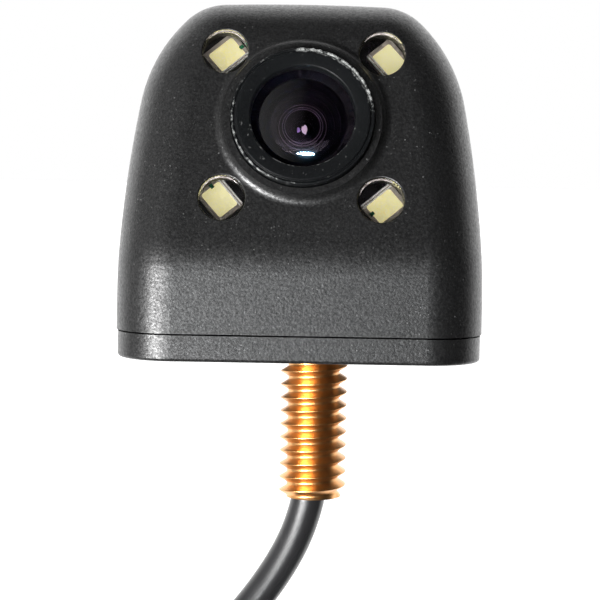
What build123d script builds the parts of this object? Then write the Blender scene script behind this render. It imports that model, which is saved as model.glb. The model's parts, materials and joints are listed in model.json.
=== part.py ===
"""Stem-mounted backup camera with four lamps, its lead, coil and screw-lock connector.

Millimetres. The origin is on the stem's axis at the underside of the base cover.
+Z is up, the camera looks towards -Y, and +X is on the right as one looks at the lens.
"""

from build123d import *
import os
from math import asin, cos, pi, radians, sin, tan

os.makedirs("parts", exist_ok=True)

# ---- Driving dimensions: body ----
body_x = -1.5  # the body's middle stands a little to the left of the stem
half_width = 16.55
half_depth = 14.8
cover_height = 2.35  # base cover, up to the seam
cover_edge_round = 0.35
seam_gap = 0.15
skirt_top = 9.5  # the front leans back above this height
face_lean = 18  # degrees from vertical
back_lean = 14
back_bend_height = 14
front_round = 5.2
back_round = 5.0
flank_r = 109  # the sides bow inwards, then turn over the shoulders to the crown
shoulder_r = 14
corner_r = 5.4
front_bend_r = 9
back_bend_r = 16
wall = 2.0
below = -12  # outlines start this far down and are trimmed at the seam
above = 46

# ---- Driving dimensions: face, lens and lamps ----
lens_height = 21.5
ring_r = 6.4  # lens ring, outside
glass_r = 4.65  # visible front glass
bore_r = 6.5  # lens bore in the housing
collar_r = 7.5
collar_rise = 0.7
collar_blend_r = 0.9  # the collar runs softly into the face
window_edge_round = 0.12
barrel_tail_r = 5.0
window_r = 2.08
window_x = 7.07
window_up = 6.48  # upper windows, measured up the face from the lens
window_down = -7.26
lamp_board_top = -3.4  # heights along the lens axis, outwards from the face
lamp_height = 0.8
sensor_board_top = -11.0
processor_board_top = -16.0
board_thickness = 1.0

# ---- Driving dimensions: stem and lead ----
thread_r = 3.175  # 1/4-20 UNC
thread_root_r = 2.45
thread_pitch = 1.27
shank_r = 2.95  # plain shank inside the cover
stem_end = -14.3
stem_bore_r = 2.05
seal_low, seal_high = -8.0, -2.0  # sleeve that seals the cable in the stem
head_flats = 9.5
head_bottom = 1.4
head_top = 4.2
cable_d = 3.2
cable_r = cable_d / 2
cable_top = 7.4
free_lead_top = -9.0  # the lead is loose in the stem's mouth below this

# ---- Driving dimensions: coil and connector ----
coil_x, coil_y, coil_z = 0.5, 1.6, -56.0
coil_inner_r = 15.3  # eight turns, two deep and four wide
coil_outer_r = coil_inner_r + 2 * cable_d
coil_width = 4 * cable_d
plug_x, plug_y, plug_top = -17.5, 4.0, -79.0

lean = radians(face_lean)
face_y = -half_depth + (lens_height - skirt_top) * tan(lean)
face = Plane(origin=(body_x, face_y, lens_height), x_dir=(1, 0, 0), z_dir=(0, -cos(lean), sin(lean)))
front_view = Plane(origin=(body_x, 0, 0), x_dir=(1, 0, 0), z_dir=(0, -1, 0))
side_view = Plane(origin=(body_x, 0, 0), x_dir=(0, 1, 0), z_dir=(1, 0, 0))
across_lens = Plane(origin=face.origin, x_dir=face.x_dir, z_dir=-face.y_dir)  # local y runs out of the lens


def write(piece, name):
    """Label one finished piece and write it to its own file."""
    piece.label = name
    export_step(piece, f"parts/{name}.step")


def head_form(inset):
    """The housing's rounded form drawn in by inset, running on below its open end."""
    with BuildPart() as form:
        with BuildSketch(front_view):
            with BuildLine():
                edge = Line((half_width, below), (half_width, 4))
                flank = JernArc(edge @ 1, edge % 1, radius=flank_r, arc_size=10)
                shoulder = JernArc(flank @ 1, flank % 1, radius=shoulder_r, arc_size=36)
                corner = JernArc(shoulder @ 1, shoulder % 1, radius=corner_r, arc_size=42)
                crown_top = (corner @ 1).Y + (corner @ 1).X * tan(radians(1))
                TangentArc(corner @ 1, (0, crown_top), tangent=corner % 1)
                Line((half_width, below), (0, below))
                mirror(about=Plane.YZ)
            make_face()
            offset(amount=-inset, kind=Kind.INTERSECTION)
        extrude(amount=half_depth + 10, both=True)
        with BuildSketch(side_view):
            with BuildLine():
                Polyline(
                    (-half_depth, below),
                    (-half_depth, skirt_top),
                    (-half_depth + (above - skirt_top) * tan(lean), above),
                    (half_depth - (above - back_bend_height) * tan(radians(back_lean)), above),
                    (half_depth, back_bend_height),
                    (half_depth, below),
                    close=True,
                )
            make_face()
            fillet(vertices().filter_by_position(Axis.Y, 0, 20).sort_by(Axis.X)[-1], radius=back_bend_r)
            fillet(vertices().filter_by_position(Axis.Y, 0, 20).sort_by(Axis.X)[0], radius=front_bend_r)
            offset(amount=-inset, kind=Kind.INTERSECTION)
        extrude(amount=half_width + 10, both=True, mode=Mode.INTERSECT)
        rims = form.edges().filter_by(Axis.X, reverse=True).filter_by(Axis.Y, reverse=True)
        rims = rims.filter_by(lambda e: (e @ 0.5).Z > below + inset + 1)
        fillet(rims.filter_by(lambda e: (e @ 0.5).Y > 0), radius=back_round - inset)
        rims = form.edges().filter_by(Axis.X, reverse=True).filter_by(Axis.Y, reverse=True)
        rims = rims.filter_by(lambda e: (e @ 0.5).Z > below + inset + 1 and (e @ 0.5).Y < -2)
        fillet(rims, radius=front_round - inset)
        split(bisect_by=Plane.XY.offset(cover_height + seam_gap), keep=Keep.TOP)
    return form.part


def plan_outline(inset):
    """The body's plan outline as a sketch, drawn in by inset."""
    with BuildSketch(Plane(origin=(body_x, 0, 0))) as plan:
        Rectangle(2 * half_width, 2 * half_depth)
        fillet(plan.vertices().group_by(Axis.Y)[0], radius=front_round)
        fillet(plan.vertices().group_by(Axis.Y)[-1], radius=back_round)
        offset(amount=-inset, kind=Kind.INTERSECTION)
    return plan.sketch


window_places = [
    (-window_x, window_up),
    (window_x, window_up),
    (-window_x, window_down),
    (window_x, window_down),
]

# ---- Housing: one moulded shell with screw posts, lens collar and lamp windows ----
post_places = [(body_x + sx * 12.2, sy * 9.5) for sx in (-1, 1) for sy in (-1, 1)]
post_bottom = 3.7
screw_r = 1.0
board_post_x, board_post_y = 9.9, -0.4
outer_form = head_form(0)
inner_form = head_form(wall)
mid_form = head_form(wall / 2)

with BuildPart() as posts:
    with BuildSketch(Plane.XY.offset(post_bottom)):
        with Locations(*post_places):
            Circle(2.5)
    extrude(amount=8)
    with BuildSketch(face.offset(lamp_board_top - board_thickness)):
        with Locations((-board_post_x, board_post_y), (board_post_x, board_post_y)):
            Circle(1.5)
    extrude(amount=-lamp_board_top + board_thickness)
    with BuildSketch(face.offset(lamp_board_top - board_thickness)):
        with Locations((-board_post_x, board_post_y), (board_post_x, board_post_y)):
            Circle(1.6)
    extrude(amount=board_thickness, mode=Mode.SUBTRACT)
    add(mid_form, mode=Mode.INTERSECT)

with BuildPart() as housing:
    add(outer_form)
    add(inner_form, mode=Mode.SUBTRACT)
    add(posts.part)
    with BuildSketch(face.offset(-0.6)):
        Circle(collar_r + 0.35)
    extrude(amount=collar_rise + 0.6, taper=30)
    foot = housing.edges().filter_by(GeomType.CIRCLE)
    foot = foot.filter_by(lambda e: abs(e.radius - collar_r) < 0.1)
    foot = foot.filter_by(lambda e: abs(face.to_local_coords(e.center()).Z) < 0.05)
    fillet(foot, radius=collar_blend_r)
    with BuildSketch(face.offset(3)):
        Circle(bore_r)
    extrude(amount=-8, mode=Mode.SUBTRACT)
    with BuildSketch(face.offset(3)):
        with Locations(*window_places):
            Circle(window_r)
    extrude(amount=-5.5, mode=Mode.SUBTRACT)
    rims = housing.edges().filter_by(GeomType.CIRCLE)
    rims = rims.filter_by(lambda e: abs(e.radius - window_r) < 0.01)
    rims = rims.filter_by(lambda e: abs(face.to_local_coords(e.center()).Z) < 0.05)
    fillet(rims, radius=window_edge_round)
    with BuildSketch(Plane.XY):
        with Locations(*post_places):
            Circle(screw_r)
    extrude(amount=9, mode=Mode.SUBTRACT)
    with BuildSketch(face.offset(-5)):
        with Locations((-board_post_x, board_post_y), (board_post_x, board_post_y)):
            Circle(0.6)
    extrude(amount=3.6, mode=Mode.SUBTRACT)
write(housing.part, "housing")

# ---- Base cover, its gasket and screws ----
plateau_top = 3.55
gasket_width = 0.7
screw_head_r = 1.9

with BuildPart() as base_cover:
    add(plan_outline(0.12))
    extrude(amount=cover_height)
    fillet(base_cover.faces().sort_by(Axis.Z)[0].outer_wire().edges(), radius=cover_edge_round)
    add(plan_outline(wall + gasket_width))
    extrude(amount=plateau_top)
    with BuildSketch(Plane.XY):
        Circle(thread_r + 0.1)
    extrude(amount=plateau_top, mode=Mode.SUBTRACT)
    with BuildSketch(Plane.XY.offset(head_bottom)):
        RegularPolygon(radius=head_flats / 2, side_count=6, major_radius=False)
    extrude(amount=plateau_top, mode=Mode.SUBTRACT)
    with BuildSketch(Plane.XY):
        with Locations(*post_places):
            Circle(screw_r)
    extrude(amount=plateau_top, mode=Mode.SUBTRACT)
    with BuildSketch(Plane.XY):
        with Locations(*post_places):
            Circle(screw_head_r)
    extrude(amount=1.2, mode=Mode.SUBTRACT)
write(base_cover.part, "base_cover")

with BuildPart() as cover_gasket:
    add(plan_outline(wall + 0.02))
    extrude(amount=plateau_top)
    add(plan_outline(wall + gasket_width))
    extrude(amount=plateau_top, mode=Mode.SUBTRACT)
    with BuildSketch(Plane.XY):
        Rectangle(100, 100)
    extrude(amount=cover_height, mode=Mode.SUBTRACT)
write(cover_gasket.part, "cover_gasket")

with BuildPart() as cover_screws:
    with BuildSketch(Plane.XY.offset(0.15)):
        with Locations(*post_places):
            Circle(screw_head_r - 0.1)
    extrude(amount=1.05)
    fillet(cover_screws.edges().group_by(Axis.Z)[0], radius=0.3)
    with BuildSketch(Plane.XY.offset(1.2)):
        with Locations(*post_places):
            Circle(screw_r)
    extrude(amount=7)
    with BuildSketch(Plane.XY.offset(0.15)):
        with Locations(*post_places):
            Rectangle(2.0, 0.45)
            Rectangle(0.45, 2.0)
    extrude(amount=0.6, mode=Mode.SUBTRACT)
write(cover_screws.part, "cover_screws")

# ---- Threaded stem: a hollow brass bolt whose hexagon sits in the cover's pocket ----
crest_flat = thread_pitch / 6
root_flat = thread_pitch / 5
flank_rise = (thread_pitch - crest_flat - root_flat) / 2
turns = 10
thread_top = -0.5


def thread_profile():
    """Points down the outside of the threaded shank, one groove for each turn."""
    lead_in = thread_top + crest_flat + flank_rise * (thread_r - shank_r) / (thread_r - thread_root_r)
    points = [(shank_r, head_bottom), (shank_r, lead_in)]
    points.append((thread_r, thread_top + crest_flat))
    points.append((thread_r, thread_top))
    for turn in range(turns):
        z = thread_top - turn * thread_pitch
        points.append((thread_root_r, z - flank_rise))
        points.append((thread_root_r, z - flank_rise - root_flat))
        points.append((thread_r, z - 2 * flank_rise - root_flat))
        points.append((thread_r, z - thread_pitch))
    points.append((thread_root_r, stem_end))
    return points


with BuildPart() as threaded_stem:
    with BuildSketch(Plane.XZ):
        with BuildLine():
            Polyline(*thread_profile(), (stem_bore_r, stem_end), (stem_bore_r, head_bottom), close=True)
        make_face()
    revolve(axis=Axis.Z)
    with BuildSketch(Plane.XY.offset(head_bottom)):
        RegularPolygon(radius=head_flats / 2 - 0.05, side_count=6, major_radius=False)
        Circle(stem_bore_r, mode=Mode.SUBTRACT)
    extrude(amount=head_top - head_bottom)
write(threaded_stem.part, "threaded_stem")

with BuildPart() as stem_seal:
    with BuildSketch(Plane.XY.offset(seal_low)):
        Circle(stem_bore_r)
        Circle(cable_r, mode=Mode.SUBTRACT)
    extrude(amount=seal_high - seal_low)
write(stem_seal.part, "stem_seal")

with BuildPart() as inner_cable:
    with BuildSketch(Plane.XY.offset(free_lead_top)):
        Circle(cable_r)
    extrude(amount=cable_top - free_lead_top)
write(inner_cable.part, "inner_cable")

with BuildPart() as cable_stop:
    with BuildSketch(Plane.XY.offset(head_top)):
        Circle(3.0)
        Circle(cable_r, mode=Mode.SUBTRACT)
    extrude(amount=2.4)
    chamfer(cable_stop.edges().group_by(Axis.Z)[-1].sort_by(SortBy.RADIUS)[-1], length=0.7)
write(cable_stop.part, "cable_stop")


# ---- Lens: barrel, ring, glass and baffles, all turned about the lens axis ----
def turned(*outline):
    """A ring or disc turned about the lens axis from (radius, height) points."""
    with BuildPart() as part:
        with BuildSketch(across_lens):
            with BuildLine():
                Polyline(*outline, close=True)
            make_face()
        revolve(axis=Axis(face.origin, face.z_dir))
    return part.part


def dome(r, base, sag):
    """Three points of an arc from the axis out to radius r, square to the axis at its top."""
    sphere_r = (r * r + sag * sag) / (2 * sag)
    half = asin(r / sphere_r) / 2
    crown = base + sag
    return (0, crown), (sphere_r * sin(half), crown - sphere_r * (1 - cos(half))), (r, base)


def glass(r, low, high, front_sag, back_sag, skirt_r):
    """A lens element: a disc of radius skirt_r with a domed front and a dished back."""
    with BuildPart() as part:
        with BuildSketch(across_lens):
            with BuildLine():
                Line((0, low + back_sag), (0, high + front_sag))
                ThreePointArc(*dome(r, high, front_sag))
                Polyline((r, high), (skirt_r, high), (skirt_r, low), (r * 0.8, low))
                ThreePointArc(*dome(r * 0.8, low, back_sag))
            make_face()
        revolve(axis=Axis(face.origin, face.z_dir))
    return part.part


lens_barrel = turned(
    (4.95, 0.4), (ring_r, 0.4), (ring_r, -0.7), (5.9, -0.7), (5.9, -1.5), (ring_r, -1.5),
    (ring_r, -2.8), (barrel_tail_r, -2.8), (barrel_tail_r, -8.8), (3.0, -8.8), (3.0, -6.2),
    (2.4, -6.2), (2.4, -5.4), (3.4, -5.4), (3.4, -2.4), (4.95, -2.4),
)
write(lens_barrel, "lens_barrel")
write(
    turned((4.65, 0.4), (ring_r, 0.4), (ring_r, 1.35), (6.15, 1.6), (5.75, 1.6), (5.0, 1.45), (4.65, 1.1)),
    "lens_ring",
)
write(turned((5.9, -1.5), (bore_r, -1.5), (bore_r, -0.7), (5.9, -0.7)), "lens_o_ring")
write(glass(glass_r, -0.9, 0.4, 1.3, 1.2, skirt_r=4.95), "front_element")
write(
    turned(
        (4.95, -0.9), (4.95, -2.4), (2.35, -2.4), (2.35, -2.05), (2.8, -2.05),
        (2.8, -1.65), (3.3, -1.65), (3.3, -1.25), (3.8, -1.25), (3.8, -0.9),
    ),
    "lens_spacer",
)
write(glass(2.3, -3.7, -2.4, 0.75, 0.4, skirt_r=3.4), "second_element")
write(turned((0.9, -3.7), (3.4, -3.7), (3.4, -4.0), (0.9, -4.0)), "aperture_stop")
write(glass(2.9, -5.4, -4.4, 0.35, 0.15, skirt_r=3.4), "third_element")
write(glass(2.3, -7.6, -6.2, 0.15, 0.5, skirt_r=3.0), "rear_element")
write(turned((2.2, -7.6), (3.0, -7.6), (3.0, -8.6), (2.2, -8.6)), "rear_retainer")

with BuildPart() as lens_lock_nut:
    with BuildSketch(face.offset(-5.1)):
        RegularPolygon(radius=6.2, side_count=8, major_radius=False)
        Circle(barrel_tail_r, mode=Mode.SUBTRACT)
    extrude(amount=1.1)
write(lens_lock_nut.part, "lens_lock_nut")

ear_x = 8.0
with BuildPart() as lens_holder:
    with BuildSketch(face.offset(sensor_board_top)):
        RectangleRounded(13, 13, 1.5)
    extrude(amount=5.9)
    with BuildSketch(face.offset(sensor_board_top)):
        SlotCenterToCenter(2 * ear_x, 3.4)
    extrude(amount=2)
    with BuildSketch(face.offset(-9.0)):
        Circle(barrel_tail_r)
    extrude(amount=5, mode=Mode.SUBTRACT)
    with BuildSketch(face.offset(sensor_board_top)):
        Rectangle(9, 9)
    extrude(amount=1.3, mode=Mode.SUBTRACT)
    with BuildSketch(face.offset(-9.7)):
        Rectangle(7, 7)
    extrude(amount=0.4, mode=Mode.SUBTRACT)
    with BuildSketch(face.offset(-9.5)):
        Circle(2.6)
    extrude(amount=1, mode=Mode.SUBTRACT)
    with BuildSketch(face.offset(sensor_board_top)):
        with Locations((-ear_x, 0), (ear_x, 0)):
            Circle(0.7)
    extrude(amount=1.6, mode=Mode.SUBTRACT)
write(lens_holder.part, "lens_holder")


# ---- Sensor, boards and what stands on them ----
def block(x, y, low, width, height, thickness):
    """A plain rectangular component standing on a board behind the face."""
    with BuildPart() as part:
        with BuildSketch(face.offset(low)):
            with Locations((x, y)):
                Rectangle(width, height)
        extrude(amount=thickness)
    return part.part


write(block(0, 0, -9.7, 7, 7, 0.4), "ir_filter")
write(block(0, 0, sensor_board_top, 5.4, 4.8, 0.9), "image_sensor")

spacer_x, spacer_y = 8.0, 5.4
spacer_places = [(sx * spacer_x, sy * spacer_y) for sx in (-1, 1) for sy in (-1, 1)]

with BuildPart() as sensor_board:
    with BuildSketch(face.offset(sensor_board_top - board_thickness)):
        RectangleRounded(19.2, 14.4, 1)
        with Locations((-ear_x, 0), (ear_x, 0)):
            Circle(0.7, mode=Mode.SUBTRACT)
    extrude(amount=board_thickness)
write(sensor_board.part, "sensor_board")

with BuildPart() as holder_screws:
    with BuildSketch(face.offset(sensor_board_top - board_thickness - 0.8)):
        with Locations((-ear_x, 0), (ear_x, 0)):
            Circle(1.25)
    extrude(amount=0.8)
    with BuildSketch(face.offset(sensor_board_top - board_thickness)):
        with Locations((-ear_x, 0), (ear_x, 0)):
            Circle(0.7)
    extrude(amount=2.4)
write(holder_screws.part, "holder_screws")

with BuildPart() as board_spacers:
    with BuildSketch(face.offset(processor_board_top)):
        with Locations(*spacer_places):
            RegularPolygon(radius=1.3, side_count=6)
    extrude(amount=sensor_board_top - board_thickness - processor_board_top)
write(board_spacers.part, "board_spacers")

with BuildPart() as processor_board:
    with BuildSketch(face.offset(processor_board_top - board_thickness)):
        RectangleRounded(20.4, 14.4, 1)
    extrude(amount=board_thickness)
write(processor_board.part, "processor_board")

chip_low = processor_board_top - board_thickness - 0.9
write(block(1.5, 1.8, chip_low, 6, 6, 0.9), "image_processor")

with BuildPart() as board_components:
    with BuildSketch(face.offset(chip_low)):
        with Locations((-4.6, 4.6), (-4.6, 2.6), (-4.6, 0.6), (7.6, -1.5)):
            Rectangle(2.0, 1.2)
        with Locations((7.4, 3.4)):
            Circle(1.5)
        with Locations((-8.2, 2.0)):
            Rectangle(2.0, 4.0)
    extrude(amount=0.9)
write(board_components.part, "board_components")

header_y, header_width, header_height = -4.8, 8.0, 3.2
write(block(0, header_y, -19.2, header_width, header_height, 2.2), "wire_header")
write(block(0, header_y, -21.2, header_width - 0.8, header_height - 0.6, 2.0), "wire_plug")

board_tilt = -1.5  # the lamp board sits turned a touch in its posts
board_shift = (0.27, 0.25)
lamp_spread = 0.36
with BuildPart() as lamp_board:
    with BuildSketch(face.offset(lamp_board_top - board_thickness)):
        RectangleRounded(22.6, 17.4, 5)
        Circle(6.9, mode=Mode.SUBTRACT)
        with Locations((-board_post_x, board_post_y), (board_post_x, board_post_y)):
            Circle(0.6, mode=Mode.SUBTRACT)
    extrude(amount=board_thickness)
write(lamp_board.part, "lamp_board")

with BuildPart() as lamp_board_screws:
    with BuildSketch(face.offset(lamp_board_top - board_thickness - 0.8)):
        with Locations((-board_post_x, board_post_y), (board_post_x, board_post_y)):
            Circle(1.2)
    extrude(amount=0.8)
    with BuildSketch(face.offset(lamp_board_top - board_thickness)):
        with Locations((-board_post_x, board_post_y), (board_post_x, board_post_y)):
            Circle(0.6)
    extrude(amount=2.2)
write(lamp_board_screws.part, "lamp_board_screws")

ribbon_top = lamp_board_top - board_thickness
write(block(-10.05, 3.5, processor_board_top, 0.2, 3, ribbon_top - processor_board_top), "lamp_ribbon")

# ---- Lamps: a clear window, a package and its phosphor pad in each of four places ----
for number, (x, y) in enumerate(window_places, start=1):
    with BuildPart() as window:
        with BuildSketch(face.offset(-1.3)):
            with Locations((x, y)):
                Circle(window_r)
        extrude(amount=1.15)
    write(window.part, f"lamp_window_{number}")

    side = 1 if x > 0 else -1
    turn = radians(board_tilt)
    lamp_x = x + side * lamp_spread + board_shift[0] - y * sin(turn)
    lamp_y = y + board_shift[1] + x * sin(turn)
    heading = -45 if x * y > 0 else 45  # long side square to the line from the lens
    lamp_spot = Location((lamp_x, lamp_y, 0), (0, 0, heading + 3 * board_tilt))
    with BuildPart() as package:
        with BuildSketch(face.offset(lamp_board_top)):
            with Locations(lamp_spot):
                RectangleRounded(3.5, 2.8, 0.2)
        extrude(amount=lamp_height)
        with BuildSketch(face.offset(lamp_board_top + lamp_height - 0.2)):
            with Locations(lamp_spot):
                RectangleRounded(2.75, 2.1, 0.25)
        extrude(amount=0.2, mode=Mode.SUBTRACT)
    write(package.part, f"lamp_package_{number}")
    with BuildPart() as phosphor:
        with BuildSketch(face.offset(lamp_board_top + lamp_height - 0.2)):
            with Locations(lamp_spot):
                RectangleRounded(2.75, 2.1, 0.25)
        extrude(amount=0.16)
    write(phosphor.part, f"lamp_phosphor_{number}")


# ---- Wires inside the body, from the cable's end to the plug behind the boards ----
def corner_radii(points):
    """The largest tangent arc that each corner of a route has room for."""
    stops = [Vector(*p) for p in points]
    radii = []
    for before, here, after in zip(stops, stops[1:], stops[2:]):
        turn = (here - before).get_angle(after - here)
        shorter = min((here - before).length, (after - here).length)
        radii.append(0.45 * shorter / tan(radians(turn / 2)))
    return radii


def tube(points, r):
    """A round tube along straight runs joined by tangent arcs."""
    radii = corner_radii(points)
    with BuildPart() as part:
        with BuildLine() as path:
            FilletPolyline(*points, radius=radii)
        with BuildSketch(Plane(origin=path.line @ 0, z_dir=path.line % 0)):
            Circle(r)
        sweep()
    return part.part, radii, sum(piece.length for piece in path.edges())


wire_pitch, wire_r = 1.6, 0.32
plug_back = face.from_local_coords(Vector(0, header_y, -21.2))
wires = []
for lane in range(4):
    out = (lane - 1.5) * wire_pitch
    start = ((lane - 1.5) * 0.72, 0, cable_top)
    finish = (body_x + out, plug_back.Y, plug_back.Z)
    route = [
        start,
        (start[0] * 1.4, 0.6, cable_top + 1.2),
        (body_x + out * 0.9, 6.0, cable_top + 0.4),
        (body_x + out, 10.2, plug_back.Z - 1.6),
        finish,
    ]
    wires.append(tube(route, wire_r)[0])
with BuildPart() as inner_wires:
    add(wires)
write(inner_wires.part, "inner_wires")

# ---- The free lead: down out of the stem, round the outside of the coil, then into its turns ----
entry_r = coil_outer_r - cable_r
drop_route = [
    (0, 0, free_lead_top),
    (0, 0, -12.2),
    (-0.5, 0, -15.4),
    (-1.75, 0, -19.0),
    (-4.1, 0, -23.0),
    (-7.6, -0.3, -27.4),
    (-12.0, -1.0, -32.6),
    (-16.2, -1.9, -38.6),
    (-18.8, -2.7, -45.6),
    (coil_x - entry_r, -3.2, coil_z + 3.5),
]
cord_drop, drop_radii, drop_length = tube(drop_route, cable_r)
write(cord_drop, "cord_drop")

with BuildPart() as cord_coil:
    with BuildSketch(Plane(origin=(coil_x, coil_y, coil_z), x_dir=(1, 0, 0), z_dir=(0, 0, 1))):
        with Locations(((coil_inner_r + coil_outer_r) / 2, 0)):
            RectangleRounded(coil_outer_r - coil_inner_r, coil_width, cable_r * 0.9)
    revolve(axis=Axis((coil_x, coil_y, coil_z), (0, 1, 0)))
write(cord_coil.part, "cord_coil")

tail_route = [
    (coil_x - entry_r, 6.4, coil_z - 3.5),
    (-19.5, 6.3, coil_z - 7.5),
    (-18.7, 5.4, coil_z - 11.8),
    (-17.8, 4.4, coil_z - 15.8),
    (plug_x, plug_y, plug_top + 3.6),
    (plug_x, plug_y, plug_top),
]
cord_tail, tail_radii, tail_length = tube(tail_route, cable_r)
write(cord_tail, "cord_tail")

tie_arc = 7
tie_thickness = 0.9
tie_plane = Plane(origin=(coil_x, coil_y, coil_z), x_dir=(1, 0, 0), z_dir=(0, 0, 1))
with BuildPart() as cable_tie:
    with BuildSketch(tie_plane.rotated((0, -tie_arc / 2, 0))):
        with Locations(((coil_inner_r + coil_outer_r) / 2, 0)):
            RectangleRounded(
                coil_outer_r - coil_inner_r + 2 * tie_thickness,
                coil_width + 2 * tie_thickness,
                cable_r * 0.9 + tie_thickness,
            )
            RectangleRounded(
                coil_outer_r - coil_inner_r, coil_width, cable_r * 0.9, mode=Mode.SUBTRACT
            )
    revolve(axis=Axis((coil_x, coil_y, coil_z), (0, 1, 0)), revolution_arc=tie_arc)
    with Locations((coil_x + coil_outer_r + tie_thickness + 0.9, coil_y, coil_z)):
        Box(2.4, 4.6, 4.2)
write(cable_tie.part, "cable_tie")

# ---- Connector: boot, body, insert, contacts, and a nut that turns on the body ----
plug_axis = Axis((plug_x, plug_y, 0), (0, 0, 1))
plug_section = Plane(origin=(plug_x, plug_y, 0), x_dir=(1, 0, 0), z_dir=(0, -1, 0))


def turned_plug(*outline):
    """A piece turned about the connector's axis from (radius, height below its top) points."""
    with BuildPart() as part:
        with BuildSketch(plug_section):
            with BuildLine():
                Polyline(*[(r, plug_top - down) for r, down in outline], close=True)
            make_face()
        revolve(axis=plug_axis)
    return part.part


write(turned_plug((0, 0), (2.6, 0), (2.9, 3), (3.6, 11), (3.9, 13), (0, 13)), "connector_boot")
write(
    turned_plug(
        (0, 13), (4.9, 13), (4.9, 15), (4.4, 15.4), (4.4, 20), (5.6, 20), (5.6, 23), (4.9, 23),
        (4.9, 30), (3.8, 30), (3.8, 24), (0, 24),
    ),
    "connector_body",
)
nut_clearance = 0.3
write(
    turned_plug(
        (4.4 + nut_clearance, 17), (6.6, 17), (7.2, 17.6), (7.2, 29.4), (6.8, 30), (6.1, 30),
        (5.9, 29), (5.9, 19.7), (4.4 + nut_clearance, 19.7),
    ),
    "coupling_nut",
)
write(turned_plug((4.9, 23), (5.5, 23), (5.5, 23.9), (4.9, 23.9)), "connector_seal")

contact_places = [(plug_x + 1.6 * sx, plug_y + 1.6 * sy) for sx in (-1, 1) for sy in (-1, 1)]
insert_top = plug_top - 24
with BuildPart() as connector_insert:
    with BuildSketch(Plane.XY.offset(insert_top - 5.8)):
        with Locations((plug_x, plug_y)):
            Circle(3.8)
        with Locations((plug_x, plug_y - 3.7)):
            Rectangle(1.2, 1.0, mode=Mode.SUBTRACT)
        with Locations(*contact_places):
            Circle(0.8, mode=Mode.SUBTRACT)
    extrude(amount=5.8)
write(connector_insert.part, "connector_insert")

with BuildPart() as connector_contacts:
    with BuildSketch(Plane.XY.offset(insert_top - 5.2)):
        with Locations(*contact_places):
            Circle(0.8)
    extrude(amount=5.2)
    with BuildSketch(Plane.XY.offset(insert_top - 5.2)):
        with Locations(*contact_places):
            Circle(0.5)
    extrude(amount=3.5, mode=Mode.SUBTRACT)
write(connector_contacts.part, "connector_contacts")

section = pi * cable_r**2
for name, solid, radii, length in (
    ("cord_drop", cord_drop, drop_radii, drop_length),
    ("cord_tail", cord_tail, tail_radii, tail_length),
):
    share = solid.volume / (section * length)
    print(name, "length", round(length, 1), "volume over section x length", round(share, 4))
    print("   radii", [round(r, 1) for r in radii], "against a diameter of", cable_d)
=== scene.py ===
"""Looks for the stem-mounted backup camera: camera, lights, materials and the pieces drawn as meshes.

Metres, in the CAD frame: the origin is on the stem's axis under the base cover, +Z up, lens towards -Y.
"""

import bmesh
import bpy
import json
from math import atan2, cos, pi, radians, sin
from mathutils import Matrix, Vector, noise


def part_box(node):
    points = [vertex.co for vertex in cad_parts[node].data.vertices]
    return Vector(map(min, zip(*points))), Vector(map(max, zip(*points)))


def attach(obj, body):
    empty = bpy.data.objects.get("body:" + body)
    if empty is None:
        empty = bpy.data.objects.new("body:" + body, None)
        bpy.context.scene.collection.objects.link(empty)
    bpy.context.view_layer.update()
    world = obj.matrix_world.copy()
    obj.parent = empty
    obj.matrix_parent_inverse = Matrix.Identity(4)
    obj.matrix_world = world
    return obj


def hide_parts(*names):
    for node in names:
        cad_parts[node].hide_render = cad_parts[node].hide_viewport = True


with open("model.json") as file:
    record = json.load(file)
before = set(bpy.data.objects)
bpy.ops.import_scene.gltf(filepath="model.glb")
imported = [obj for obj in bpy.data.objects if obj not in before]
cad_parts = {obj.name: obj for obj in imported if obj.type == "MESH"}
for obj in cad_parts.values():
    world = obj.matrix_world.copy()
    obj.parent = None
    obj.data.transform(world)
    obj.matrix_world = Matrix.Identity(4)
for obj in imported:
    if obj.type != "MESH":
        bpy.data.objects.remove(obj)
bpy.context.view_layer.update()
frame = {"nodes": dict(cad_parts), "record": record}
nodes = frame["nodes"]
scene = bpy.context.scene
scene.view_settings.view_transform = "Standard"
MM = 0.001


# ---- Places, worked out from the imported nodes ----
def middle(node):
    """The middle of a CAD node's box."""
    low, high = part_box(node)
    return (low + high) / 2


o_ring_depth = 1.1 * MM  # the lens seal's middle lies this far behind the face plane
face_x = Vector((1, 0, 0))
face_up = (middle("lamp_window_1") - middle("lamp_window_3")).normalized()
face_out = face_x.cross(face_up)
face_seat = middle("lens_o_ring") + o_ring_depth * face_out
face_matrix = Matrix.Translation(face_seat) @ Matrix((face_x, face_up, face_out)).transposed().to_4x4()
plug_low, plug_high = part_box("connector_boot")
plug_place = Vector(((plug_low.x + plug_high.x) / 2, (plug_low.y + plug_high.y) / 2, plug_high.z))


# ---- Camera ----
view_distance = 0.200
view_elevation = radians(4.5)
view_roll = radians(1.0)
view_target = Vector((-1.46, 0, 4.54)) * MM
forward = Vector((0, cos(view_elevation), -sin(view_elevation)))
level = Vector((1, 0, 0))
upright = level.cross(forward)
camera_data = bpy.data.cameras.new("camera")
camera_data.lens = 126
camera_data.sensor_width = 36
camera_data.clip_start = 0.01
camera_data.clip_end = 50
camera = bpy.data.objects.new("camera", camera_data)
camera_x = cos(view_roll) * level + sin(view_roll) * upright
camera_y = -sin(view_roll) * level + cos(view_roll) * upright
camera.matrix_world = (
    Matrix.Translation(view_target - view_distance * forward)
    @ Matrix((camera_x, camera_y, -forward)).transposed().to_4x4()
)
scene.collection.objects.link(camera)
scene.camera = camera


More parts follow.
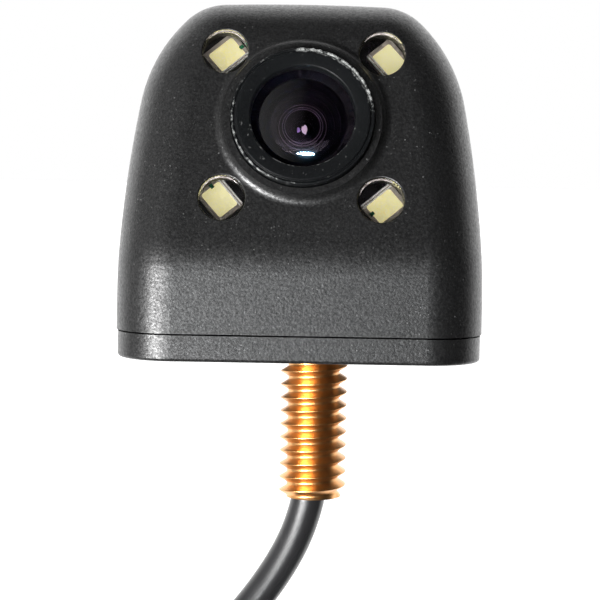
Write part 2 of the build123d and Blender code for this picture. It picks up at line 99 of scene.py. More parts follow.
# ---- Material helpers ----
class Recipe:
    """A node material with one Principled shader, and short calls for what feeds it."""

    def __init__(self, name, color, roughness, metallic=0.0, specular=0.5):
        self.material = bpy.data.materials.new(name)
        self.material.use_nodes = True
        self.tree = self.material.node_tree
        self.shader = self.tree.nodes["Principled BSDF"]
        self.set("Base Color", (*color, 1))
        self.set("Roughness", roughness)
        self.set("Metallic", metallic)
        self.set("Specular IOR Level", specular)
        self.place = self.tree.nodes.new("ShaderNodeTexCoord").outputs["Object"]

    def set(self, socket, value):
        self.shader.inputs[socket].default_value = value

    def link(self, source, socket):
        self.tree.links.new(source, self.shader.inputs[socket])

    def node(self, kind, **inputs):
        made = self.tree.nodes.new("ShaderNode" + kind)
        for name, value in inputs.items():
            socket = made.inputs[name.replace("_", " ")]
            if isinstance(value, bpy.types.NodeSocket):
                self.tree.links.new(value, socket)
            else:
                socket.default_value = value
        return made

    def stretched(self, x, y, z):
        """The object's own coordinates, scaled along each axis."""
        return self.node("Mapping", Vector=self.place, Scale=(x, y, z)).outputs["Vector"]

    def grain(self, size, detail=2.0, place=None):
        """Noise with features about size metres across."""
        spread = self.node("TexNoise", Vector=place or self.place, Scale=0.5 / size, Detail=detail)
        return spread.outputs["Fac"]

    def spots(self, size, place=None):
        """Distance from scattered points about size metres apart."""
        return self.node("TexVoronoi", Vector=place or self.place, Scale=1 / size).outputs["Distance"]

    def band(self, source, low, high, to_low=0.0, to_high=1.0):
        """Source stretched from low..high onto to_low..to_high, held at its ends."""
        ranged = self.node("MapRange", Value=source)
        for name, value in zip(("From Min", "From Max", "To Min", "To Max"), (low, high, to_low, to_high)):
            ranged.inputs[name].default_value = value
        return ranged.outputs["Result"]

    def times(self, first, second):
        product = self.node("Math")
        product.operation = "MULTIPLY"
        for socket, value in zip(product.inputs, (first, second)):
            if isinstance(value, bpy.types.NodeSocket):
                self.tree.links.new(value, socket)
            else:
                socket.default_value = value
        return product.outputs["Value"]

    def mix(self, factor, first, second):
        """One colour or the other, by factor. Each is three numbers or a socket."""
        blend = self.tree.nodes.new("ShaderNodeMix")
        blend.data_type = "RGBA"
        self.tree.links.new(factor, blend.inputs[0])
        for socket, value in ((blend.inputs[6], first), (blend.inputs[7], second)):
            if isinstance(value, bpy.types.NodeSocket):
                self.tree.links.new(value, socket)
            else:
                socket.default_value = (*value, 1)
        return blend.outputs[2]

    def bump(self, *layers):
        """Stacked bump layers of (height, depth in metres, strength)."""
        normal = None
        for height, depth, strength in layers:
            step = self.node("Bump", Height=height, Distance=depth, Strength=strength)
            if normal is not None:
                self.tree.links.new(normal, step.inputs["Normal"])
            normal = step.outputs["Normal"]
        self.link(normal, "Normal")


def moulded(name, color, roughness, grain_size, depth, dust=0.0, specular=0.5):
    """Moulded plastic with a fine texture, uneven gloss and, where asked for, pale dust specks."""
    cloud_size, speck_gap, patch_size = 4 * MM, 0.5 * MM, 0.9 * MM
    dust_color = (0.3, 0.3, 0.3)
    gloss_swing, sparkle_swing = 0.09, 0.4
    made = Recipe(name, color, roughness, specular=specular)
    broad = made.grain(cloud_size, 3)
    fine = made.grain(grain_size)
    coarse = made.grain(grain_size * 2.6)
    lighter = tuple(c * 1.7 + 0.0015 for c in color)
    tone = made.mix(broad, color, lighter)
    if dust:
        fleck = made.band(made.spots(speck_gap), 0.06, 0.12, 1, 0)
        patch = made.band(made.grain(patch_size), 0.42, 0.62)
        tone = made.mix(made.times(made.times(fleck, patch), dust), tone, dust_color)
    made.link(tone, "Base Color")
    made.link(made.band(fine, 0.3, 0.7, roughness - gloss_swing, roughness + gloss_swing), "Roughness")
    sparkle = made.grain(grain_size * 0.7, 3, made.stretched(1, 1.3, 0.9))
    dull, bright = specular * (1 - sparkle_swing), specular * (1 + sparkle_swing)
    made.link(made.band(sparkle, 0.32, 0.68, dull, bright), "Specular IOR Level")
    made.bump((coarse, depth, 0.08), (fine, depth * 0.8, 0.8))
    return made.material


def metal(name, color, roughness, brushed, tarnish=0.25):
    """Bare metal with fine tool marks and slightly uneven colour."""
    mark_width, stain_size, mark_depth = 0.05 * MM, 1.2 * MM, 0.004 * MM
    made = Recipe(name, color, roughness, metallic=1.0)
    marks = made.grain(mark_width, 3, made.stretched(*brushed))
    cloud = made.grain(stain_size, 4)
    dark = tuple(c * (1 - tarnish) for c in color)
    made.link(made.mix(made.band(cloud, 0.35, 0.7), dark, color), "Base Color")
    made.link(made.band(marks, 0.3, 0.7, roughness * 0.7, roughness * 1.4), "Roughness")
    made.bump((marks, mark_depth, 0.4))
    return made.material


def rubbery(name, color, roughness):
    """Soft matt rubber or PVC with a faint grain and bloom."""
    bloom_size, grain_size, grain_depth = 1.5 * MM, 0.09 * MM, 0.01 * MM
    made = Recipe(name, color, roughness)
    cloud = made.grain(bloom_size, 4)
    fine = made.grain(grain_size)
    made.link(made.mix(cloud, color, tuple(c * 1.6 + 0.006 for c in color)), "Base Color")
    made.link(made.band(fine, 0.3, 0.7, roughness - 0.05, roughness + 0.08), "Roughness")
    made.bump((fine, grain_depth, 0.5))
    return made.material


def clear(name, color, roughness, coat_tint=None, haze=0.0, specular=0.5):
    """Glass or clear plastic, faintly uneven, with a coated reflection where a tint is given."""
    made = Recipe(name, color, roughness, specular=specular)
    made.set("Transmission Weight", 1.0)
    made.set("IOR", 1.5)
    if coat_tint:
        made.set("Specular Tint", (*coat_tint, 1))
    wave = made.grain(3 * MM)
    made.link(made.mix(made.band(wave, 0.4, 0.6), color, tuple(c * 0.94 for c in color)), "Base Color")
    made.link(made.band(made.grain(0.4 * MM), 0.4, 0.6, roughness, roughness + haze), "Roughness")
    return made.material


def circuit(name, mask, copper):
    """Solder mask over faint copper tracks."""
    track_spacing, track_height = 6 * MM, 0.02 * MM
    made = Recipe(name, mask, 0.3)
    tracks = made.node("TexBrick", Vector=made.place, Scale=1 / track_spacing).outputs["Fac"]
    cloud = made.grain(0.6 * MM, 3)
    made.link(made.mix(tracks, made.mix(cloud, mask, tuple(c * 1.3 for c in mask)), copper), "Base Color")
    made.link(made.band(cloud, 0.3, 0.7, 0.22, 0.4), "Roughness")
    made.bump((tracks, track_height, 0.4))
    return made.material


def phosphor_pad():
    """Pale yellow phosphor under clear silicone, paler in soft patches."""
    made = Recipe("phosphor", (0.93, 0.82, 0.36), 0.32)
    cloud = made.grain(1.6 * MM, 2)
    fine = made.grain(0.08 * MM, 3)
    pale = made.mix(made.band(cloud, 0.35, 0.65), (0.86, 0.72, 0.24), (0.95, 0.89, 0.52))
    made.link(made.mix(made.band(fine, 0.35, 0.75), pale, (0.97, 0.93, 0.66)), "Base Color")
    made.set("Coat Weight", 0.6)
    made.set("Coat Roughness", 0.08)
    made.set("Emission Color", (0.96, 0.87, 0.44, 1))
    made.set("Emission Strength", 0.5)
    made.bump((fine, 0.01 * MM, 0.4))
    return made.material


def ring_metal():
    """Black anodised ring, worn to bright bare specks at its upper right, with painted highlight lines on
    its lower lip and mouth, all where the wear-and-sheen attribute is high.
    """
    anodised_dark, anodised_light = (0.002, 0.0022, 0.0024), (0.005, 0.0055, 0.006)
    # Bare metal for the real wear, and also for the painted highlight lines.
    bare_metal_and_sheen = (0.2, 0.205, 0.2)
    made = Recipe("lens_ring_anodised", (0.004, 0.004, 0.005), 0.36, specular=0.1)
    wear_and_sheen = made.node("Attribute")
    wear_and_sheen.attribute_name = "wear_and_sheen"
    broken = made.grain(0.16 * MM, 6)
    gate = made.node("Math")
    gate.operation = "ADD"
    made.tree.links.new(wear_and_sheen.outputs["Fac"], gate.inputs[0])
    made.tree.links.new(made.band(broken, 0.3, 0.7, -0.75, 0.5), gate.inputs[1])
    bare_and_sheen = made.band(gate.outputs["Value"], 0.4, 1.15)
    fine = made.grain(0.07 * MM)
    made.link(made.mix(bare_and_sheen, made.mix(fine, anodised_dark, anodised_light), bare_metal_and_sheen), "Base Color")
    made.link(made.band(fine, 0.3, 0.7, 0.3, 0.46), "Roughness")
    made.bump((broken, 0.03 * MM, 0.4), (fine, 0.008 * MM, 0.4))
    return made.material


def front_coating():
    """Front glass: clear and slightly purple, with a soft reflection from its dusty coating."""
    tint, deeper_tint = (0.5, 0.41, 0.5), (0.46, 0.38, 0.47)
    made = Recipe("front_glass_coated", tint, 0.0, specular=0.0)
    made.set("Transmission Weight", 1.0)
    made.set("IOR", 1.5)
    made.set("Coat Weight", 0.1)
    wave = made.grain(3 * MM)
    made.link(made.mix(made.band(wave, 0.4, 0.6), tint, deeper_tint), "Base Color")
    made.link(made.band(made.grain(0.5 * MM), 0.4, 0.6, 0.1, 0.13), "Coat Roughness")
    return made.material


looks = {
    "housing_plastic": moulded(
        "housing_plastic", (0.0028, 0.0028, 0.0029), 0.39, 0.13 * MM, 0.034 * MM, dust=0.4
    ),
    "rubber": rubbery("rubber", (0.012, 0.012, 0.012), 0.7),
    "jacket": rubbery("jacket", (0.006, 0.006, 0.0065), 0.33),
    "steel": metal("steel", (0.56, 0.56, 0.57), 0.28, (1, 1, 8)),
    "brass": metal("brass", (0.74, 0.38, 0.14), 0.33, (1, 1, 14), tarnish=0.3),
    "lens_black": moulded(
        "lens_black", (0.006, 0.005, 0.007), 0.42, 0.08 * MM, 0.006 * MM, specular=0.2
    ),
    "lens_glass": clear("lens_glass", (0.6, 0.5, 0.6), 0.0, coat_tint=(0.8, 0.55, 0.9), specular=0.05),
    "filter_glass": clear("filter_glass", (0.5, 0.85, 0.8), 0.02),
    "window_clear": clear("window_clear", (0.97, 0.97, 0.96), 0.01, haze=0.05),
    "package_white": moulded("package_white", (0.42, 0.37, 0.32), 0.4, 0.1 * MM, 0.008 * MM),
    "phosphor": phosphor_pad(),
    "plastic_dark": moulded("plastic_dark", (0.014, 0.014, 0.014), 0.45, 0.12 * MM, 0.012 * MM),
    "nut_plastic": moulded("nut_plastic", (0.016, 0.016, 0.017), 0.4, 0.12 * MM, 0.012 * MM),
    "plastic_white": moulded("plastic_white", (0.72, 0.69, 0.6), 0.5, 0.15 * MM, 0.01 * MM),
    "board": circuit("board", (0.01, 0.10, 0.035), (0.03, 0.2, 0.07)),
    "lamp_board": circuit("lamp_board", (0.012, 0.008, 0.014), (0.03, 0.022, 0.035)),
    "sensor": moulded("sensor", (0.05, 0.04, 0.08), 0.2, 0.05 * MM, 0.002 * MM),
    "chip": moulded("chip", (0.012, 0.012, 0.013), 0.5, 0.06 * MM, 0.01 * MM),
    "component": moulded("component", (0.35, 0.25, 0.15), 0.45, 0.1 * MM, 0.01 * MM),
    "ribbon": moulded("ribbon", (0.4, 0.16, 0.02), 0.25, 0.3 * MM, 0.004 * MM),
    "wire": rubbery("wire", (0.35, 0.03, 0.02), 0.4),
    "tie": moulded("tie", (0.014, 0.014, 0.014), 0.35, 0.2 * MM, 0.01 * MM),
}
ring_look = ring_metal()
front_look = front_coating()
for part in frame["record"]["subparts"]:
    carried = nodes[part["node"]]
    carried.data.materials.clear()
    carried.data.materials.append(looks[part["material_slot"]])


# ---- Mesh helpers ----
def piece(name, mesh, slot, material=None, body="camera", replaces=(), smooth=True):
    """An object for a finished mesh, with its material (the slot's look unless one is given) and body; the
    nodes it stands for are hidden.
    """
    made = bpy.data.objects.new(name, mesh)
    scene.collection.objects.link(made)
    mesh.materials.append(material or looks[slot])
    for polygon in mesh.polygons:
        polygon.use_smooth = smooth
    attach(made, body)
    if replaces:
        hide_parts(*replaces)
    return made


def mesh_of(name, points, faces):
    """A mesh from points and faces, with doubled points joined and its faces turned outwards."""
    mesh = bpy.data.meshes.new(name)
    mesh.from_pydata(points, [], faces)
    work = bmesh.new()
    work.from_mesh(mesh)
    bmesh.ops.remove_doubles(work, verts=work.verts, dist=0.0004 * MM)
    bmesh.ops.dissolve_degenerate(work, edges=work.edges, dist=0.0002 * MM)
    bmesh.ops.recalc_face_normals(work, faces=work.faces)
    work.to_mesh(mesh)
    work.free()
    return mesh


def sharpen(mesh, degrees):
    """Keeps edges that turn by more than this many degrees crisp."""
    mesh.set_sharp_from_angle(angle=radians(degrees))


def lathe(name, outline, place, segments, shape=None):
    """A closed ring turned about place's Z from (radius, height) points in mm.

    shape, if given, changes (radius, height) for an angle, for ribs and wear.
    """
    points = []
    for step in range(segments):
        angle = 2 * pi * step / segments
        for r, h in outline:
            if shape:
                r, h = shape(r, h, angle)
            points.append(place @ Vector((r * cos(angle), r * sin(angle), h)) * MM)
    rows = len(outline)
    faces = []
    for step in range(segments):
        after = (step + 1) % segments
        for row in range(rows):
            up = (row + 1) % rows
            faces.append((step * rows + row, after * rows + row, after * rows + up, step * rows + up))
    return mesh_of(name, points, faces)


def in_mm(matrix):
    """The same placement with its distance in mm, for outlines drawn in mm."""
    scaled = matrix.copy()
    scaled.translation = matrix.translation / MM
    return scaled


face_place = in_mm(face_matrix)
to_face = face_matrix.inverted()
plug_axis = Matrix.Translation(plug_place / MM)


def rounded(outline, r, steps=2):
    """A closed outline with each corner cut to a small arc of about radius r."""
    smooth = []
    count = len(outline)
    for i, here in enumerate(outline):
        here = Vector(here)
        before = Vector(outline[i - 1]) - here
        after = Vector(outline[(i + 1) % count]) - here
        reach = min(r, before.length * 0.4, after.length * 0.4)
        start = here + before.normalized() * reach
        end = here + after.normalized() * reach
        for k in range(steps + 1):
            t = k / steps
            smooth.append(tuple(start * (1 - t) ** 2 + here * 2 * t * (1 - t) + end * t**2))
    return smooth


# ---- The lead: one NURBS line from the stem, through the coil, to the connector ----
cable_d = 3.2
coil_x, coil_y, coil_z = 0.5, 1.6, -56.0
turn_outer_r, turn_inner_r = 20.1, 16.9
drop_route = [
    (0, 0, -9.0),
    (0, 0, -12.2),
    (-0.5, 0, -15.4),
    (-1.75, 0, -19.0),
    (-4.1, 0, -23.0),
    (-7.6, -0.3, -27.4),
    (-12.0, -1.0, -32.6),
    (-16.2, -1.9, -38.6),
    (-18.8, -2.7, -45.6),
]
tail_route = [
    (-19.5, 6.3, -63.5),
    (-18.7, 5.4, -67.8),
    (-17.8, 4.4, -71.8),
    (-17.5, 4.0, -75.4),
    (-17.5, 4.0, -79.0),
]
columns = [coil_y + cable_d * (k - 1.5) for k in range(4)]
turns = []
for k, column in enumerate(columns):
    radii = (turn_outer_r, turn_inner_r) if k % 2 == 0 else (turn_inner_r, turn_outer_r)
    turns += [(r, column) for r in radii]
per_turn = 20
crossover = 0.8  # the share of each turn before it slides over to the next


def coil_points():
    """Eight turns, two deep and four wide, from the left-most point heading down."""
    points = []
    reach = 1 / cos(pi / per_turn)  # a control point stands this much outside its turn
    total = len(turns) * per_turn
    for step in range(total):
        place = (step + 0.5) / per_turn
        here = min(int(place), len(turns) - 1)
        r, y = turns[here]
        share = place - here
        if share > crossover and here + 1 < len(turns):
            t = (share - crossover) / 0.2
            slide = t * t * (3 - 2 * t)
            r += (turns[here + 1][0] - r) * slide
            y += (turns[here + 1][1] - y) * slide
        angle = 2 * pi * place
        points.append((coil_x - r * reach * cos(angle), y, coil_z - r * reach * sin(angle)))
    return points


lead_route = drop_route + coil_points() + tail_route
lead_curve = bpy.data.curves.new("lead", "CURVE")
lead_curve.dimensions = "3D"
lead_curve.bevel_depth = cable_d / 2 * MM
lead_curve.bevel_resolution = 6
lead_curve.use_fill_caps = True
lead_line = lead_curve.splines.new("NURBS")
lead_line.points.add(len(lead_route) - 1)
for point, (x, y, z) in zip(lead_line.points, lead_route):
    point.co = (x * MM, y * MM, z * MM, 1)
lead_line.order_u = 3
lead_line.use_endpoint_u = True
lead_line.resolution_u = 6
lead_line.use_smooth = True
lead_curve.materials.append(looks["jacket"])
lead = bpy.data.objects.new("lead", lead_curve)
scene.collection.objects.link(lead)
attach(lead, "camera")
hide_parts("cord_drop", "cord_coil", "cord_tail")


# ---- Threaded stem: a true helix with crisp crests, a bored end and the hexagon in the cover ----
thread_pitch = 1.27
crest_r, root_r, shank_r, bore_r = 3.175, 2.45, 2.95, 2.05
stem_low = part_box("threaded_stem")[0].z / MM
stem_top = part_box("threaded_stem")[1].z / MM
thread_high = -0.16
hex_half, hex_low, hex_bevel = 4.7, 1.4, 0.25  # the hexagon held in the cover: half its flats, its underside
bore_bevel = 0.15
thread_section = [  # share of the pitch, radius
    (0.00, root_r),
    (0.08, root_r),
    (0.13, root_r + 0.04),
    (0.45, crest_r - 0.04),
    (0.48, crest_r),
    (0.52, crest_r),
    (0.55, crest_r - 0.04),
    (0.87, root_r + 0.04),
    (0.92, root_r),
]


def threaded_stem_mesh():
    """One helical surface for the thread, then rings for the end, the bore and the hexagon."""
    segments = 144
    end_round = 0.7
    points = []
    rows = len(thread_section)
    turns_needed = int((thread_high - stem_low) / thread_pitch) + 3
    for step in range(segments * turns_needed + 1):
        angle = 2 * pi * step / segments
        base = stem_low - 1.5 * thread_pitch + thread_pitch * step / segments
        for share, r in thread_section:
            z = base + share * thread_pitch
            rise = (z - stem_low) / end_round
            if 0 <= rise < 1:
                r = min(r, root_r + (crest_r - root_r) * (1 - (1 - rise) ** 2) ** 0.5)
            if z <= stem_low:
                z, r = stem_low, root_r
            if z >= thread_high:
                z, r = thread_high, shank_r
            points.append(Vector((r * cos(angle), r * sin(angle), z)) * MM)
    faces = []
    for step in range(segments * turns_needed):
        for row in range(rows - 1):
            a = step * rows + row
            faces.append((a, a + rows, a + rows + 1, a + 1))
        upper = (step + segments) * rows
        if upper + rows < len(points):
            a = step * rows + rows - 1
            faces.append((a, a + rows, upper + rows, upper))
    rings = [
        (root_r, stem_low),
        (bore_r + bore_bevel, stem_low),
        (bore_r, stem_low + bore_bevel),
        (bore_r, stem_top),
        (hex_half - 0.3, stem_top),
        (hex_half, stem_top - hex_bevel),
        (hex_half, hex_low),
        (shank_r, hex_low),
        (shank_r, thread_high),
    ]
    first = len(points)
    for step in range(segments):
        angle = 2 * pi * step / segments
        wrapped = (angle + pi / 6) % (pi / 3) - pi / 6
        for r, z in rings:
            reach = r / cos(wrapped) if r > 4 else r
            points.append(Vector((reach * cos(angle), reach * sin(angle), z)) * MM)
    count = len(rings)
    for step in range(segments):
        after = (step + 1) % segments
        for row in range(count - 1):
            a, b = first + step * count + row, first + after * count + row
            faces.append((a, b, b + 1, a + 1))
    mesh = mesh_of("threaded_stem_turned", points, faces)
    sharpen(mesh, 35)
    return mesh


piece("threaded_stem_turned", threaded_stem_mesh(), "brass", replaces=("threaded_stem",))


# ---- Lens ring: a turned lip, worn along its upper right rim, with painted highlights on its lower left lip and bottom mouth ----
ring_outline = [
    (4.65, 0.4),
    (6.4, 0.4),
    (6.4, 1.36),
    (6.34, 1.44),
    (6.22, 1.45),
    (6.14, 1.36),
    (6.06, 1.37),
    (5.98, 1.56),
    (5.86, 1.58),
    (4.8, 1.5),
    (4.72, 1.43),
    (4.65, 1.2),
]


def worn(angle):
    """How far the rim is worn at an angle: most at the upper right, counted from the right."""
    degrees = angle * 180 / pi
    if degrees > 180:
        degrees -= 360
    rise = min(max((degrees + 6) / 30, 0), 1)
    fall = min(max((104 - degrees) / 12, 0), 1)
    return rise * fall


def ring_wear(r, h, angle):
    """The rim's outer lip, chipped where it is worn."""
    if h > 1.3 and r > 6.0:
        spot = Vector((r * cos(angle) * 3.2, r * sin(angle) * 3.2, h * 5))
        chip = worn(angle) * (noise.noise(spot) * 0.13 + noise.noise(spot * 3) * 0.06)
        wobble = noise.noise(Vector((cos(angle), sin(angle), 0)) * 5) * 0.018
        r += min(chip, 0) + wobble * 0.4
        h += chip * 0.8 + wobble
        r = min(r, 6.42)
        h = min(h, 1.6)
    return r, h


ring_mesh = lathe("lens_ring_turned", rounded(ring_outline, 0.03), face_place, 720, ring_wear)
sharpen(ring_mesh, 50)
wear_and_sheen_values = ring_mesh.attributes.new("wear_and_sheen", "FLOAT", "POINT")
for vertex in ring_mesh.vertices:
    local = to_face @ vertex.co / MM
    radius = Vector((local.x, local.y)).length
    ragged = 0.14 * noise.noise(local * 2.2)
    rim = min(max((radius - 5.88 - ragged) / 0.12, 0), 1) * min(max((local.z - 1.0) / 0.2, 0), 1)
    lip = min(max((radius - 6.2) / 0.06, 0), 1) * min(max((local.z - 1.3) / 0.06, 0), 1)
    bearing = atan2(local.y, local.x) % (2 * pi)
    # Painted highlights: pale lines along the outer lip at the lower left and along the mouth at the bottom,
    # stored with the wear.
    lip_sheen = 0.85 * max(cos(bearing - radians(205)), 0) ** 0.5
    mouth = min(max((4.84 - radius) / 0.04, 0), 1) * min(max((local.z - 1.35) / 0.08, 0), 1)
    brushed = 0.62 * max(cos(bearing - radians(262)), 0) ** 0.5
    wear_and_sheen_values.data[vertex.index].value = max(worn(bearing) * rim, lip_sheen * lip * 0.75, brushed * mouth)
piece("lens_ring_turned", ring_mesh, "lens_black", ring_look, replaces=("lens_ring",))


# ---- Front glass: a ground dome over a dished back, seated behind the ring ----
glass_r, glass_seat_r, glass_base, glass_back = 4.65, 4.95, 0.4, -0.9
front_sag, dish_sag, dish_r = 1.3, 1.2, 3.72


def arc_heights(r, sag, steps):
    """(radius, height) pairs along a dome from its rim in to its middle."""
    sphere = (r * r + sag * sag) / (2 * sag)
    span = [r * (1 - k / steps) for k in range(steps + 1)]
    return [(x, (sphere * sphere - x * x) ** 0.5 - sphere + sag) for x in span]


def front_glass_mesh():
    bevel = 0.1
    outline = [(glass_seat_r, glass_back), (glass_seat_r, glass_base - bevel)]
    outline.append((glass_seat_r - bevel, glass_base))
    outline += [(r, glass_base + h) for r, h in arc_heights(glass_r, front_sag, 40)]
    outline += [(r, glass_back + h) for r, h in reversed(arc_heights(dish_r, dish_sag, 30))]
    return lathe("front_glass_ground", outline, face_place, 192)


glass_mesh = front_glass_mesh()
sharpen(glass_mesh, 30)
front_glass = piece("front_glass_ground", glass_mesh, "lens_glass", front_look, replaces=("front_element",))


# ---- Inside the lens: painted glints on the bevelled edges of its elements, and a painted reflection seen through the stop ----
def bead(place, radius, height, thickness, start=0, sweep=360, steps=96, sides=8):
    """Points and faces of a fine round bead about place's Z, closed, or tapered where it ends."""
    points = []
    faces = []
    closed = sweep == 360
    stops = steps if closed else steps + 1
    for step in range(stops):
        angle = radians(start + sweep * step / steps)
        thin = thickness if closed else thickness * max(sin(pi * step / steps), 0.04) ** 0.5
        for side in range(sides):
            turn = 2 * pi * side / sides
            r = radius + thin * cos(turn)
            points.append(place @ Vector((r * cos(angle), r * sin(angle), height + thin * sin(turn))) * MM)
    for step in range(steps):
        here, after = step * sides, ((step + 1) % stops) * sides
        for side in range(sides):
            up = (side + 1) % sides
            faces.append((here + side, after + side, after + up, here + up))
    if not closed:
        faces += [tuple(range(sides)), tuple(range(steps * sides, (steps + 1) * sides))]
    return points, faces


def joined(parts):
    """Several lists of points and faces as one."""
    points, faces = [], []
    for more_points, more_faces in parts:
        base = len(points)
        points += more_points
        faces += [tuple(i + base for i in face) for face in more_faces]
    return points, faces


def bevel_edge_glints():
    """Painted glints on the bevelled edges of the inner element and its retainer: pale, with a faint painted
    glow.
    """
    made = Recipe("bevel_edge_glints", (0.25, 0.2, 0.25), 0.3, metallic=0.6)
    patchy = made.band(made.grain(0.8 * MM, 3), 0.3, 0.65)
    made.link(made.mix(patchy, (0.05, 0.04, 0.06), (0.42, 0.36, 0.40)), "Base Color")
    # Painted glow on the glints.
    made.set("Emission Color", (0.8, 0.66, 0.78, 1))
    made.set("Emission Strength", 0.05)
    return made.material


rim_places = ((2.12, -2.16), (1.8, -2.0), (1.6, -1.9))  # radius, height
rims = [bead(face_place, r, h, 0.035) for r, h in rim_places]
piece("lens_bevel_edge_glints", mesh_of("lens_bevel_edge_glints", *joined(rims)), "lens_black", bevel_edge_glints())


def glint(name, x, y, size, color, strength, seed):
    """A painted reflection seen through the stop: a small crumpled, glowing patch on the inner element."""
    top, count = -1.42, 24
    points = [face_place @ Vector((x, y, top)) * MM]
    for ring, share in ((1, 0.5), (2, 1.0)):
        for step in range(count):
            angle = 2 * pi * step / count
            ragged = 1 + 0.45 * noise.noise(Vector((cos(angle) * 1.3, sin(angle) * 1.3, seed)))
            r = size * share * ragged
            edge = Vector((x + r * cos(angle) * 0.8, y + r * sin(angle) * 1.15, top - 0.02 * ring))
            points.append(face_place @ edge * MM)
    faces = [(0, 1 + k, 1 + (k + 1) % count) for k in range(count)]
    for k in range(count):
        after = (k + 1) % count
        faces.append((1 + k, 1 + count + k, 1 + count + after, 1 + after))
    made = Recipe(name, color, 0.3)
    cloud = made.grain(0.15 * MM, 3)
    made.link(made.mix(cloud, tuple(c * 0.5 for c in color), color), "Base Color")
    made.set("Emission Color", (*color, 1))
    made.set("Emission Strength", strength)
    piece(name, mesh_of(name, points, faces), "sensor", made.material)


# Painted reflections: a pale pink glowing patch and a fainter purple one.
glint("sensor_glint", 0.16, -0.42, 0.34, (1.0, 0.82, 0.84), 0.9, 3.0)
glint("sensor_halo", -0.36, -0.5, 0.2, (0.55, 0.36, 0.75), 0.4, 8.0)


# ---- Lamps: painted highlight along each package edge, polarity mark and the bead of glue round each window ----
def box_mesh(place, width, depth, height, bevel):
    """A bevelled bar standing on place's XY, as points and faces."""
    points, faces = [], []
    levels = ((0, 0), (height - bevel, 0), (height, bevel))
    for z, inset in levels:
        for sx, sy in ((-1, -1), (1, -1), (1, 1), (-1, 1)):
            x, y = sx * (width / 2 - inset), sy * (depth / 2 - inset)
            points.append(place @ Vector((x, y, z)) * MM)
    for level in range(len(levels) - 1):
        for k in range(4):
            a, b = level * 4 + k, level * 4 + (k + 1) % 4
            faces.append((a, b, b + 4, a + 4))
    faces += [(3, 2, 1, 0), (8, 9, 10, 11)]
    return points, faces


def glue():
    """Clear potting glue, greyish where it is thick, with small bubbles."""
    made = Recipe("window_glue", (0.30, 0.27, 0.26), 0.12)
    made.set("Transmission Weight", 0.45)
    lumps = made.grain(0.22 * MM, 3)
    made.link(made.mix(made.band(lumps, 0.35, 0.65), (0.10, 0.08, 0.08), (0.6, 0.55, 0.54)), "Base Color")
    made.bump((lumps, 0.05 * MM, 0.8))
    return made.material


glue_look = glue()
# Near-white bars stand in for the highlight along each package edge: a painted highlight.
edge_highlight_look = moulded("package_edge_highlight", (0.9, 0.88, 0.86), 0.3, 0.1 * MM, 0.004 * MM)
green_look = moulded("polarity_mark", (0.01, 0.16, 0.06), 0.3, 0.1 * MM, 0.004 * MM)
package_height = -2.6
edge_length, edge_width, edge_height = 3.3, 0.13, 0.14
mark_size = (0.42, 0.34, 0.1, 0.03)  # width, depth, height, bevel
green_marks = {1: (1.3, 0.75), 3: (-0.72, 1.2), 4: (-1.15, -0.75)}
for number in range(1, 5):
    spot = to_face @ middle(f"lamp_package_{number}") / MM
    window = to_face @ middle(f"lamp_window_{number}") / MM
    heading = radians(-49.5 if window.x * window.y > 0 else 40.5)
    package_place = face_place @ Matrix.Translation((spot.x, spot.y, 0)) @ Matrix.Rotation(heading, 4, "Z")
    inwards = -1 if window.y > 0 else 1
    bars = []
    # Two pale bars with a dark gap between: the painted highlight on the package edge.
    for away in (1.08, 1.34):
        edge_place = package_place @ Matrix.Translation((0, inwards * away, package_height))
        bars.append(box_mesh(edge_place, edge_length, edge_width, edge_height, 0.03))
    bar = mesh_of(f"lamp_edge_{number}", *joined(bars))
    strip = piece(f"lamp_edge_{number}", bar, "package_white", edge_highlight_look, smooth=False)
    if number in green_marks:
        x, y = green_marks[number]
        dot_place = face_place @ Matrix.Translation((spot.x + x, spot.y + y, package_height))
        dot_place = dot_place @ Matrix.Rotation(heading, 4, "Z")
        dot_mesh = mesh_of(f"lamp_mark_{number}", *box_mesh(dot_place, *mark_size))
        piece(f"lamp_mark_{number}", dot_mesh, "board", green_look, smooth=False)
    window_place = face_place @ Matrix.Translation((window.x, window.y, 0))
    arc = bead(window_place, 1.93, -0.14, 0.085, start=5 + 12 * number, sweep=115, steps=60)
    piece(f"lamp_glue_{number}", mesh_of(f"lamp_glue_{number}", *arc), "window_clear", glue_look)


# ---- Connector: ribbed nut, ribbed boot ----
nut_low, nut_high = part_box("coupling_nut")
nut_depth = (plug_place.z - nut_high.z) / MM
nut_length = (nut_high.z - nut_low.z) / MM
nut_ribs_per_half, nut_rib_depth, nut_grip_r = 12, 0.32, 6.7


def nut_ribs(r, h, angle):
    """Grip ribs round the nut, faded out towards its two plain ends."""
    if r > nut_grip_r:
        share = (-h - nut_depth) / nut_length
        if 0.1 < share < 0.82:
            r += nut_rib_depth * (abs(sin(angle * nut_ribs_per_half)) ** 0.6 - 1)
    return r, h


nut_outline = [(4.7, -17.0), (6.5, -17.0), (7.0, -17.5), (7.15, -18.1), (7.2, -18.6), (7.2, -20.0)]
nut_outline += [(7.2, -22.0), (7.2, -24.0), (7.2, -26.0), (7.2, -27.2), (7.15, -27.7), (6.95, -27.9)]
nut_outline += [(6.95, -28.4), (7.1, -28.6), (7.1, -29.5), (6.8, -30.0), (6.1, -30.0), (5.9, -29.0)]
nut_outline += [(5.9, -19.7), (4.7, -19.7)]
nut_mesh = lathe("coupling_nut_ribbed", nut_outline, plug_axis, 288, nut_ribs)
sharpen(nut_mesh, 32)
nut = piece("coupling_nut_ribbed", nut_mesh, "nut_plastic", body="connector_nut", replaces=("coupling_nut",))


